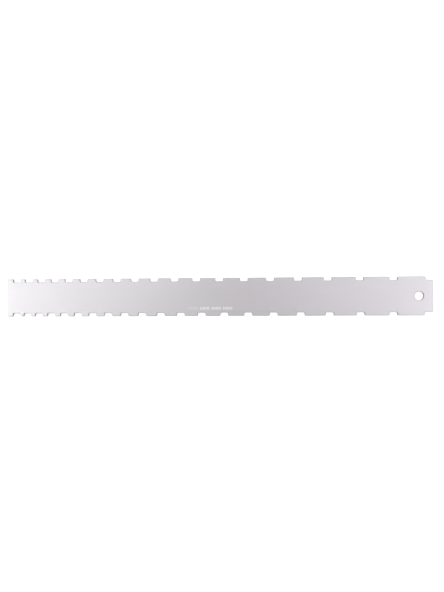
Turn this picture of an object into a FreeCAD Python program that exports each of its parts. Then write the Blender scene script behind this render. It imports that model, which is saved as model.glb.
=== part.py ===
"""Notched neck straightedge: a steel ruler with a slot over every fret of a guitar neck.

The whole tool is one flat blade, cut from sheet, with nothing fastened to it. The long-scale
edge faces +Y and the short-scale edge faces -Y. The blade lies flat on the plane z = 0, its
length runs along X, and the nut end with the hanging hole is at +X. Millimetres.
"""

import FreeCAD, Part
import os

# The sheet that the blade is cut from.
BLADE_LENGTH = 445.0
BLADE_WIDTH = 39.6
BLADE_THICKNESS = 2.0

# String lengths that the two edges are cut for, and the frets that fit on the blade.
LONG_SCALE = 647.7
LONG_SCALE_FRETS = 19
SHORT_SCALE = 628.65
SHORT_SCALE_FRETS = 20
FRETS_PER_OCTAVE = 12

# Every slot is centred over its fret. Each edge has its own nut line, and the slot at the nut
# runs out of the end of the blade.
LONG_NUT_FROM_END = 3.2
SHORT_NUT_FROM_END = 4.4
NOTCH_WIDTH = 8.1
NOTCH_DEPTH = 3.45
NOTCH_CORNER_RADIUS = 1.2

# The hole that the tool hangs by.
HOLE_RADIUS = 4.5
HOLE_FROM_END = 13.9

# Shallow etched marks beside the short-scale edge: groups of plain upright strokes. The group
# furthest from the nut is the faintest, with the finest strokes, and heights repeat in turn.
ETCH_DEPTH = 0.05
ETCH_CENTRE = (-5.4, -11.9)
ETCH_GROUP_PITCH = 12.1
ETCH_STROKES = 7
ETCH_STROKE_PITCH = 1.4
ETCH_GROUP_STROKE_WIDTHS = (0.35, 0.9, 0.9, 0.9)
ETCH_STROKE_HEIGHTS = (3.0, 2.3, 2.7)

# How far a cutting shape runs past the faces that it opens, and how near to a face counts as on it.
CUT_PAST = 1.0
NEARLY = 0.01

END_X = BLADE_LENGTH / 2
LONG_NUT_X = END_X - LONG_NUT_FROM_END
SHORT_NUT_X = END_X - SHORT_NUT_FROM_END


def fret_x(nut_x, scale, fret):
    """Where a fret lies along the blade. Fret 0 is the nut."""
    return nut_x - scale * (1 - 2 ** (-fret / FRETS_PER_OCTAVE))


def notch_cutter(centre_x, side):
    """The shape removed for one notch, with rounded inner corners. side is +1 or -1 in Y."""
    low_y = BLADE_WIDTH / 2 - NOTCH_DEPTH
    cutter = Part.makeBox(
        NOTCH_WIDTH,
        NOTCH_DEPTH + CUT_PAST,
        BLADE_THICKNESS + 2 * CUT_PAST,
        FreeCAD.Vector(centre_x - NOTCH_WIDTH / 2, low_y, -CUT_PAST),
    )
    floor_corners = [
        edge
        for edge in cutter.Edges
        if edge.BoundBox.YMax < low_y + NEARLY and edge.BoundBox.ZLength > BLADE_THICKNESS
    ]
    cutter = cutter.makeFillet(NOTCH_CORNER_RADIUS, floor_corners)
    if side < 0:
        cutter = cutter.mirror(FreeCAD.Vector(0, 0, 0), FreeCAD.Vector(0, 1, 0))
    return cutter


def nut_cutter(nut_x, side):
    """The notch over the nut, which opens through the end of the blade as a corner step."""
    cutter = notch_cutter(nut_x, side)
    low_y = BLADE_WIDTH / 2 - NOTCH_DEPTH
    if side < 0:
        low_y = -BLADE_WIDTH / 2 - CUT_PAST
    run_out = Part.makeBox(
        END_X + CUT_PAST - nut_x,
        NOTCH_DEPTH + CUT_PAST,
        BLADE_THICKNESS + 2 * CUT_PAST,
        FreeCAD.Vector(nut_x, low_y, -CUT_PAST),
    )
    return cutter.fuse(run_out)


def notch_cutters(nut_x, scale, frets, side):
    """All the cutting shapes of one edge, from the nut to its last fret."""
    at_frets = [notch_cutter(fret_x(nut_x, scale, fret), side) for fret in range(1, frets + 1)]
    return [nut_cutter(nut_x, side)] + at_frets


def hole_cutter():
    """The round hole on the centreline, near the nut end."""
    foot = FreeCAD.Vector(END_X - HOLE_FROM_END, 0, -CUT_PAST)
    return Part.makeCylinder(HOLE_RADIUS, BLADE_THICKNESS + 2 * CUT_PAST, foot)


def etched_strokes():
    """The material removed by etching: thin boxes sunk just below the top face."""
    middle_x, middle_y = ETCH_CENTRE
    groups = len(ETCH_GROUP_STROKE_WIDTHS)
    strokes = []
    for group, width in enumerate(ETCH_GROUP_STROKE_WIDTHS):
        group_x = middle_x + (group - (groups - 1) / 2) * ETCH_GROUP_PITCH
        for stroke in range(ETCH_STROKES):
            x = group_x + (stroke - (ETCH_STROKES - 1) / 2) * ETCH_STROKE_PITCH
            height = ETCH_STROKE_HEIGHTS[stroke % len(ETCH_STROKE_HEIGHTS)]
            corner = FreeCAD.Vector(
                x - width / 2, middle_y - height / 2, BLADE_THICKNESS - ETCH_DEPTH
            )
            strokes.append(Part.makeBox(width, height, CUT_PAST, corner))
    return strokes


def blade():
    """The one solid of the tool: the sheet blank with everything cut out of it."""
    corner = FreeCAD.Vector(-BLADE_LENGTH / 2, -BLADE_WIDTH / 2, 0)
    blank = Part.makeBox(BLADE_LENGTH, BLADE_WIDTH, BLADE_THICKNESS, corner)
    cutters = notch_cutters(LONG_NUT_X, LONG_SCALE, LONG_SCALE_FRETS, +1)
    cutters += notch_cutters(SHORT_NUT_X, SHORT_SCALE, SHORT_SCALE_FRETS, -1)
    cutters.append(hole_cutter())
    cutters += etched_strokes()
    return blank.cut(cutters).removeSplitter()


def in_convex_blocks(sheet):
    """The same sheet as blocks that meet face to face: its core between the notch floors, and
    every tooth. The one real piece is in no way divided; this keeps each notch open where
    every solid is stood in for by convex shapes."""
    floor_to_floor = BLADE_WIDTH - 2 * NOTCH_DEPTH
    corner = FreeCAD.Vector(-BLADE_LENGTH / 2, -floor_to_floor / 2, 0)
    strip = Part.makeBox(BLADE_LENGTH, floor_to_floor, BLADE_THICKNESS, corner)
    core = sheet.common(strip).Solids
    teeth = sheet.cut(strip).Solids
    return core + teeth


def write_step(name, solids):
    """Writes one sub-part after checking that its solids are sound."""
    if not all(solid.isValid() for solid in solids):
        raise ValueError(name + " has a solid that isn't valid")
    shape = Part.makeCompound(solids)
    shape.exportStep("parts/" + name + ".step")
    box = shape.BoundBox
    print(name, len(solids), box.XLength, box.YLength, box.ZLength, "volume", round(shape.Volume, 2))


os.makedirs("parts", exist_ok=True)
write_step("blade", in_convex_blocks(blade()))
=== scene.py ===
"""Notched steel straightedge lying on a white table, lit like a catalogue picture.

Metres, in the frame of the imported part: X along the blade with the hanging hole at +X, Y towards
the long-scale edge, Z up, and the blade's back on z = 0.
"""

import math

import bpy
import mathutils
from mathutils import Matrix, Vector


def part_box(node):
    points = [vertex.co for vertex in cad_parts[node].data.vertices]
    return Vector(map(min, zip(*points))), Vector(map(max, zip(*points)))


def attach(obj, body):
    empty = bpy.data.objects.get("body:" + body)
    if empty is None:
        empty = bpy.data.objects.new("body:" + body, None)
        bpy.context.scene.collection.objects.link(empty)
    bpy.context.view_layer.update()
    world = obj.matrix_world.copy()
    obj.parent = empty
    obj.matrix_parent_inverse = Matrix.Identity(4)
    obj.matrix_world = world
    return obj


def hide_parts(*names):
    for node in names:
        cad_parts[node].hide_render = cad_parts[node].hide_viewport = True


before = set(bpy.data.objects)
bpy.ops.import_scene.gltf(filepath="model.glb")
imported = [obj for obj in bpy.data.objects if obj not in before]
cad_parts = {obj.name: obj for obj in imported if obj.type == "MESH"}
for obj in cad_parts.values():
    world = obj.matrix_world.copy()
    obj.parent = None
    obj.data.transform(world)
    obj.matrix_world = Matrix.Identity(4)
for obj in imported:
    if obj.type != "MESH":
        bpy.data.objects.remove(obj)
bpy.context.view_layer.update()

MM = 0.001

# The blade's outer size comes from the frame, and the rest repeats the CAD part's dimensions.
# Each edge has its own nut line.
_, (END_X, HALF_WIDTH, BLADE_TOP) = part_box("blade")
LONG_SCALE, LONG_SCALE_FRETS = 647.7 * MM, 19
SHORT_SCALE, SHORT_SCALE_FRETS = 628.65 * MM, 20
FRETS_PER_OCTAVE = 12
LONG_NUT_X = END_X - 3.2 * MM
SHORT_NUT_X = END_X - 4.4 * MM
NOTCH_WIDTH, NOTCH_DEPTH = 8.1 * MM, 3.45 * MM
INNER_RADIUS = 1.2 * MM
HOLE_RADIUS = 4.5 * MM
HOLE_X = END_X - 13.9 * MM

# The CAD part is sharp here: the corners that stick out are a little rounded, and the edges are
# broken by a small round, all the way about both faces.
OUTER_RADIUS = 0.45 * MM
EDGE_BREAK = 0.32 * MM
EDGE_STEPS = 3
CORNER_STEPS = 6
HOLE_STEPS = 96

# Etched marks near the short-scale edge: groups of plain strokes, sunk into the face.
ETCH_DEPTH = 0.05 * MM
ETCH_CENTRE = (-5.4 * MM, -11.9 * MM)
ETCH_GROUP_PITCH = 12.1 * MM
ETCH_STROKES, ETCH_STROKE_PITCH = 7, 1.4 * MM
ETCH_GROUP_STROKE_WIDTHS = (0.35 * MM, 0.9 * MM, 0.9 * MM, 0.9 * MM)
ETCH_STROKE_HEIGHTS = (3.0 * MM, 2.3 * MM, 2.7 * MM)

# The camera looks almost straight down, from a little off the middle of the blade.
CAMERA_AT = (27.02 * MM, -1.56 * MM, 441.8 * MM)
CAMERA_AIM = (6.76 * MM, 0.87 * MM, 2.0 * MM)
CAMERA_ROLL_DEGREES = -0.29
LENS_MM, SENSOR_MM = 25.66, 36.0

# The table's size and place, and how much light it gives off by itself, so that no shadow greys it.
TABLE_HALF_WIDTH = 4.0
TABLE_TOP = -0.02 * MM
TABLE_GLOW = 0.45

# The sine of the angle above the horizon where the sky has dimmed.
SKY_FADES_BY = 0.4


# ---------------------------------------------------------------- outline


def fret_x(nut_x, scale, fret):
    """Where a fret lies along the blade. Fret 0 is the nut."""
    return nut_x - scale * (1 - 2 ** (-fret / FRETS_PER_OCTAVE))


def arc(centre, radius, start_degrees, end_degrees, steps):
    """Points along an arc, both ends included."""
    points = []
    for step in range(steps + 1):
        angle = math.radians(start_degrees + (end_degrees - start_degrees) * step / steps)
        points.append(
            (centre[0] + radius * math.cos(angle), centre[1] + radius * math.sin(angle))
        )
    return points


def outer_corner(x, y, turn_from, inset):
    """A rounded corner that sticks out, walked anticlockwise. turn_from is the angle of the
    first side's outward normal."""
    radius = OUTER_RADIUS - inset
    toward = math.radians(turn_from + 45)
    reach = OUTER_RADIUS * math.sqrt(2)
    centre = (x - reach * math.cos(toward), y - reach * math.sin(toward))
    return arc(centre, radius, turn_from, turn_from + 90, CORNER_STEPS)


def inner_corner(x, y, turn_from, inset):
    """A rounded corner at a notch floor, walked anticlockwise about the blade. turn_from is
    the angle of the first side's outward normal, and the normal turns back from it."""
    radius = INNER_RADIUS + inset
    toward = math.radians(turn_from - 45)
    reach = INNER_RADIUS * math.sqrt(2)
    centre = (x + reach * math.cos(toward), y + reach * math.sin(toward))
    return arc(centre, radius, turn_from + 180, turn_from + 90, CORNER_STEPS)


def edge_outline(nut_x, scale, frets, inset):
    """The upper edge as if it faced +Y, from the nut end to the far end, anticlockwise."""
    half = NOTCH_WIDTH / 2
    floor = HALF_WIDTH - NOTCH_DEPTH
    points = outer_corner(END_X, floor, 0, inset)
    points += inner_corner(nut_x - half, floor, 90, inset)
    for fret in range(1, frets + 1):
        x = fret_x(nut_x, scale, fret)
        previous = fret_x(nut_x, scale, fret - 1)
        points += outer_corner(previous - half, HALF_WIDTH, 0, inset)
        points += outer_corner(x + half, HALF_WIDTH, 90, inset)
        points += inner_corner(x + half, floor, 180, inset)
        points += inner_corner(x - half, floor, 90, inset)
    points += outer_corner(fret_x(nut_x, scale, frets) - half, HALF_WIDTH, 0, inset)
    points += outer_corner(-END_X, HALF_WIDTH, 90, inset)
    return points


def blade_outline(inset):
    """The whole outline of the blade, pulled in by inset all round, anticlockwise."""
    upper = edge_outline(LONG_NUT_X, LONG_SCALE, LONG_SCALE_FRETS, inset)
    lower = edge_outline(SHORT_NUT_X, SHORT_SCALE, SHORT_SCALE_FRETS, inset)
    return upper + [(x, -y) for x, y in reversed(lower)]


def hole_outline(inset):
    """The hanging hole, widened by inset, clockwise so that its wall faces the axis."""
    full_turn = arc((HOLE_X, 0), HOLE_RADIUS + inset, 360, 0, HOLE_STEPS)
    return full_turn[:-1]


def etched_outlines():
    """Each etched stroke's rectangle, anticlockwise."""
    outlines = []
    middle_x, middle_y = ETCH_CENTRE
    groups = len(ETCH_GROUP_STROKE_WIDTHS)
    for group, width in enumerate(ETCH_GROUP_STROKE_WIDTHS):
        group_x = middle_x + (group - (groups - 1) / 2) * ETCH_GROUP_PITCH
        for stroke in range(ETCH_STROKES):
            x = group_x + (stroke - (ETCH_STROKES - 1) / 2) * ETCH_STROKE_PITCH
            half_w = width / 2
            half_h = ETCH_STROKE_HEIGHTS[stroke % len(ETCH_STROKE_HEIGHTS)] / 2
            outlines.append(
                [
                    (x - half_w, middle_y - half_h),
                    (x + half_w, middle_y - half_h),
                    (x + half_w, middle_y + half_h),
                    (x - half_w, middle_y + half_h),
                ]
            )
    return outlines


# ---------------------------------------------------------------- blade mesh


FACE, CUT_EDGE, ETCHED = range(3)  # the blade's material slots
FILL_INSIDE = 1  # the triangulation's mode that leaves out what lies past the outline
SAME_POINT = 1e-6  # in mm, how near two points count as one


def signed_area(points, loop):
    """Twice a loop's area: more than 0 where it runs anticlockwise."""
    following = loop[1:] + loop[:1]
    return sum(points[a].cross(points[b]) for a, b in zip(loop, following))


class BladeMesh:
    """Collects vertices and faces, each face with its material slot."""

    def __init__(self):
        self.vertices, self.faces, self.slots = [], [], []

    def ring(self, outline, z):
        """Adds a closed ring of vertices and returns their numbers."""
        first = len(self.vertices)
        self.vertices += [(x, y, z) for x, y in outline]
        return list(range(first, len(self.vertices)))

    def add(self, face, slot):
        self.faces.append(face)
        self.slots.append(slot)

    def wall(self, lower, upper, slot):
        """Quads between two rings. A face looks to the right of the way the rings run."""
        count = len(lower)
        for i in range(count):
            j = (i + 1) % count
            self.add((lower[i], lower[j], upper[j], upper[i]), slot)

    def cap(self, rings, slot, up):
        """Triangles that fill the first ring around the others."""
        numbers = [number for ring in rings for number in ring]
        points = [mathutils.Vector(self.vertices[number][:2]) / MM for number in numbers]
        loops, first = [], 0
        for ring in rings:
            loop = list(range(first, first + len(ring)))
            first += len(ring)
            loops.append(loop if signed_area(points, loop) > 0 else loop[::-1])
        _, _, triangles, origin, _, holders = mathutils.geometry.delaunay_2d_cdt(
            points, [], loops, FILL_INSIDE, SAME_POINT
        )
        for triangle, holding in zip(triangles, holders):
            if set(holding) == {0}:
                face = [numbers[origin[corner][0]] for corner in triangle]
                self.add(tuple(face if up else reversed(face)), slot)

    def rounded_side(self, outline):
        """The rings of a side with both its edges rounded, from the back face to the top."""
        rings = []
        for step in range(EDGE_STEPS + 1):
            angle = math.pi / 2 * step / EDGE_STEPS
            inset = EDGE_BREAK * (1 - math.sin(angle))
            height = EDGE_BREAK * (1 - math.cos(angle))
            rings.append((inset, height))
        rings += [(inset, BLADE_TOP - height) for inset, height in reversed(rings)]
        return [self.ring(outline(inset), z) for inset, z in rings]

    def build(self, name, materials):
        mesh = bpy.data.meshes.new(name)
        mesh.from_pydata(self.vertices, [], self.faces)
        for material in materials:
            mesh.materials.append(material)
        mesh.polygons.foreach_set("material_index", self.slots)
        mesh.polygons.foreach_set("use_smooth", [slot != ETCHED for slot in self.slots])
        mesh.update()
        piece = bpy.data.objects.new(name, mesh)
        bpy.context.scene.collection.objects.link(piece)
        return piece


def make_blade(materials):
    """The blade in one closed mesh, with rounded edges and sunken etched strokes."""
    mesh = BladeMesh()
    sides = [mesh.rounded_side(outline) for outline in (blade_outline, hole_outline)]
    for rings in sides:
        for lower, upper in zip(rings, rings[1:]):
            mesh.wall(lower, upper, CUT_EDGE)
    mesh.cap([rings[0] for rings in sides], FACE, up=False)
    rims = []
    for outline in etched_outlines():
        rim = mesh.ring(outline, BLADE_TOP)
        foot = mesh.ring(outline, BLADE_TOP - ETCH_DEPTH)
        mesh.wall(rim, foot, ETCHED)
        mesh.add(tuple(foot), ETCHED)
        rims.append(rim)
    mesh.cap([rings[-1] for rings in sides] + rims, FACE, up=True)
    blade = mesh.build("straightedge_blade", materials)
    normals = blade.modifiers.new("face_normals", "WEIGHTED_NORMAL")
    normals.keep_sharp = True
    return blade


# ---------------------------------------------------------------- materials


MIX_COLOURS, MIX_RESULT = (6, 7), 2  # the colour sockets of a Mix node


class Nodes:
    """A material's node tree, with short calls that add and join nodes."""

    def __init__(self, name):
        self.material = bpy.data.materials.new(name)
        self.material.use_nodes = True
        self.tree = self.material.node_tree
        self.tree.nodes.clear()
        self.shader = self.add("ShaderNodeBsdfPrincipled")
        output = self.add("ShaderNodeOutputMaterial")
        self.join(self.shader.outputs["BSDF"], output.inputs["Surface"])
        self.place = self.add("ShaderNodeTexCoord").outputs["Object"]

    def add(self, kind, **inputs):
        node = self.tree.nodes.new(kind)
        for name, value in inputs.items():
            node.inputs[name.replace("_", " ")].default_value = value
        return node

    def join(self, output, socket):
        self.tree.links.new(output, socket)

    def stretched(self, scale, turn_degrees=0.0):
        """Places in metres, times a scale for each axis, after a turn about Z."""
        mapping = self.add("ShaderNodeMapping", Scale=scale)
        mapping.inputs["Rotation"].default_value = (0, 0, math.radians(turn_degrees))
        self.join(self.place, mapping.inputs["Vector"])
        return mapping.outputs["Vector"]

    def noise(self, scale, detail=2.0, turn_degrees=0.0):
        """A noise from 0 to 1 with about that many bumps a metre along each axis."""
        node = self.add("ShaderNodeTexNoise", Scale=1.0, Detail=detail)
        self.join(self.stretched(scale, turn_degrees), node.inputs["Vector"])
        return node.outputs["Fac"]

    def remap(self, value, from_low, from_high, to_low, to_high):
        node = self.add("ShaderNodeMapRange")
        for name, number in (
            ("From Min", from_low),
            ("From Max", from_high),
            ("To Min", to_low),
            ("To Max", to_high),
        ):
            node.inputs[name].default_value = number
        self.join(value, node.inputs["Value"])
        return node.outputs["Result"]

    def maths(self, operation, first, second):
        node = self.add("ShaderNodeMath")
        node.operation = operation
        for socket, value in zip(node.inputs, (first, second)):
            if isinstance(value, (int, float)):
                socket.default_value = value
            else:
                self.join(value, socket)
        return node.outputs["Value"]

    def blend(self, share, first, second):
        """A colour from first to second as share goes from 0 to 1."""
        node = self.add("ShaderNodeMix")
        node.data_type = "RGBA"
        self.join(share, node.inputs["Factor"])
        for number, value in zip(MIX_COLOURS, (first, second)):
            socket = node.inputs[number]
            if isinstance(value, tuple):
                socket.default_value = (*value, 1.0)
            else:
                self.join(value, socket)
        return node.outputs[MIX_RESULT]

    def bump(self, height, distance, strength):
        node = self.add("ShaderNodeBump", Strength=strength, Distance=distance)
        self.join(height, node.inputs["Height"])
        self.join(node.outputs["Normal"], self.shader.inputs["Normal"])

    def set(self, **values):
        for name, value in values.items():
            self.shader.inputs[name.replace("_", " ")].default_value = value


def satin_steel():
    """Stainless sheet: a soft lengthwise grain, cloudy patches and hairline scuffs."""
    nodes = Nodes("satin_steel")
    nodes.set(Metallic=1.0)
    grain = nodes.noise((60, 5200, 5200), detail=3.0)
    clouds = nodes.noise((14, 30, 30), detail=2.0)
    scuff_lines = nodes.noise((38, 1500, 1500), detail=1.0, turn_degrees=7)
    scuffs = nodes.remap(scuff_lines, 0.70, 0.76, 0.0, 1.0)
    cross_lines = nodes.noise((900, 26, 26), detail=1.0, turn_degrees=-21)
    cross = nodes.remap(cross_lines, 0.71, 0.76, 0.0, 1.0)
    wear = nodes.maths("MAXIMUM", scuffs, cross)
    base = nodes.blend(clouds, (0.650, 0.617, 0.649), (0.680, 0.648, 0.680))
    grained = nodes.blend(
        nodes.remap(grain, 0.35, 0.65, 0.0, 0.25), base, (0.596, 0.566, 0.596)
    )
    worn = nodes.blend(nodes.maths("MULTIPLY", wear, 0.3), grained, (0.71, 0.69, 0.715))
    nodes.join(worn, nodes.shader.inputs["Base Color"])
    rough = nodes.remap(grain, 0.3, 0.7, 0.40, 0.46)
    rougher = nodes.maths("ADD", rough, nodes.maths("MULTIPLY", wear, 0.08))
    nodes.join(rougher, nodes.shader.inputs["Roughness"])
    nodes.bump(grain, distance=0.004 * MM, strength=0.5)
    return nodes.material


def cut_steel_with_painted_shade():
    """The sawn or laser-cut side of the sheet: rougher, with fine lines across its thickness, and
    dark partly from its own oxide and partly from painted shade.
    """
    nodes = Nodes("cut_steel_with_painted_shade")
    nodes.set(Metallic=1.0)
    lines = nodes.noise((2600, 2600, 160), detail=3.0)
    patches = nodes.noise((120, 120, 300), detail=2.0)
    # The dark colour is partly the cut's oxide and partly painted shade, which keeps the walls dark
    # against the light the glowing table throws on them.
    base = nodes.blend(lines, (0.20, 0.192, 0.198), (0.31, 0.298, 0.306))
    shaded = nodes.blend(nodes.remap(patches, 0.4, 0.7, 0.0, 0.5), base, (0.23, 0.218, 0.222))
    nodes.join(shaded, nodes.shader.inputs["Base Color"])
    nodes.join(nodes.remap(lines, 0.3, 0.7, 0.38, 0.55), nodes.shader.inputs["Roughness"])
    nodes.bump(lines, distance=0.02 * MM, strength=0.6)
    return nodes.material


def etched_steel():
    """Frosted steel at the foot of an etched stroke: pale, dull and finely pitted."""
    nodes = Nodes("etched_steel")
    nodes.set(Metallic=0.0, Specular_IOR_Level=0.3)
    pits = nodes.noise((4200, 4200, 4200), detail=4.0)
    base = nodes.blend(pits, (0.79, 0.78, 0.79), (0.87, 0.86, 0.87))
    nodes.join(base, nodes.shader.inputs["Base Color"])
    nodes.join(nodes.remap(pits, 0.3, 0.7, 0.72, 0.86), nodes.shader.inputs["Roughness"])
    nodes.bump(pits, distance=0.01 * MM, strength=0.6)
    return nodes.material


def table_white():
    """The pale table: matt white with the faintest mottle, and a glow of its own."""
    nodes = Nodes("table_white")
    nodes.set(Roughness=0.85, Specular_IOR_Level=0.2, Emission_Strength=TABLE_GLOW)
    nodes.set(Emission_Color=(1.0, 1.0, 1.0, 1.0))
    mottle = nodes.noise((8, 8, 8), detail=3.0)
    base = nodes.blend(mottle, (0.90, 0.90, 0.90), (0.92, 0.92, 0.92))
    nodes.join(base, nodes.shader.inputs["Base Color"])
    return nodes.material


# ---------------------------------------------------------------- studio


def aim(thing, target):
    """Points an object's -Z at a target, with its top towards +Y."""
    away = mathutils.Vector(target) - thing.location
    thing.rotation_euler = away.to_track_quat("-Z", "Y").to_euler()


def add_table():
    """A wide floor just under the blade."""
    half, z = TABLE_HALF_WIDTH, TABLE_TOP
    mesh = bpy.data.meshes.new("table")
    corners = [(-half, -half, z), (half, -half, z), (half, half, z), (-half, half, z)]
    mesh.from_pydata(corners, [], [(0, 1, 2, 3)])
    mesh.materials.append(table_white())
    table = bpy.data.objects.new("table", mesh)
    bpy.context.scene.collection.objects.link(table)


def add_softbox(name, at, size, radiance, colour=(1.0, 1.0, 1.0)):
    """A rectangular area light of that brightness, facing the middle of the blade."""
    light = bpy.data.lights.new(name, "AREA")
    light.color = colour
    light.shape = "RECTANGLE"
    light.size, light.size_y = size
    light.energy = radiance * math.pi * size[0] * size[1]
    lamp = bpy.data.objects.new(name, light)
    lamp.location = at
    bpy.context.scene.collection.objects.link(lamp)
    aim(lamp, (0, 0, 0))


def add_world(horizon, overhead):
    """A plain sky, pale at the horizon and dimmer above."""
    world = bpy.data.worlds.new("studio")
    world.use_nodes = True
    tree = world.node_tree
    sky = tree.nodes["Background"]
    direction = tree.nodes.new("ShaderNodeTexCoord")
    parts = tree.nodes.new("ShaderNodeSeparateXYZ")
    fade = tree.nodes.new("ShaderNodeMapRange")
    fade.interpolation_type = "SMOOTHSTEP"
    for name, value in (
        ("From Min", 0.0),
        ("From Max", SKY_FADES_BY),
        ("To Min", horizon),
        ("To Max", overhead),
    ):
        fade.inputs[name].default_value = value
    tree.links.new(direction.outputs["Generated"], parts.inputs["Vector"])
    tree.links.new(parts.outputs["Z"], fade.inputs["Value"])
    tree.links.new(fade.outputs["Result"], sky.inputs["Strength"])
    sky.inputs["Color"].default_value = (1.0, 1.0, 1.0, 1.0)
    bpy.context.scene.world = world


def add_studio():
    """Soft boxes at both ends and both sides, and little light from straight overhead, where
    the camera is."""
    add_world(horizon=0.75, overhead=0.15)
    end_box, side_box = (0.7, 1.4), (1.6, 0.7)
    neutral, cool = (0.985, 1.02, 0.99), (0.99, 1.005, 1.02)
    add_softbox("left_high", (-0.75, 0.0, 1.1), end_box, 1.27, neutral)
    add_softbox("left_low", (-1.25, 0.0, 0.6), end_box, 1.37, neutral)
    add_softbox("right_high", (0.75, 0.0, 1.1), end_box, 1.03, cool)
    add_softbox("right_low", (1.25, 0.0, 0.6), end_box, 1.53, cool)
    add_softbox("back_high", (0.0, 0.8, 1.1), side_box, 1.85)
    add_softbox("back_low", (0.0, 1.3, 0.6), side_box, 0.6)
    add_softbox("front_high", (0.0, -0.8, 1.1), side_box, 0.3)
    add_softbox("front_low", (0.0, -1.3, 0.6), side_box, 0.6)


def add_camera():
    """Looks down at the blade with +Y at the top of the picture."""
    data = bpy.data.cameras.new("camera")
    data.sensor_width = SENSOR_MM
    data.lens = LENS_MM
    data.clip_start = 0.01
    camera = bpy.data.objects.new("camera", data)
    camera.location = CAMERA_AT
    back = (mathutils.Vector(CAMERA_AT) - mathutils.Vector(CAMERA_AIM)).normalized()
    right = mathutils.Vector((0, 1, 0)).cross(back).normalized()
    facing = mathutils.Matrix((right, back.cross(right), back)).transposed()
    turn = mathutils.Matrix.Rotation(math.radians(CAMERA_ROLL_DEGREES), 3, "Z")
    camera.rotation_euler = (facing @ turn).to_euler()
    bpy.context.scene.collection.objects.link(camera)
    bpy.context.scene.camera = camera


# ---------------------------------------------------------------- the scene


bpy.context.scene.view_settings.view_transform = "Standard"
add_camera()
add_studio()
add_table()

blade = make_blade([satin_steel(), cut_steel_with_painted_shade(), etched_steel()])
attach(blade, "root")
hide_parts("blade")
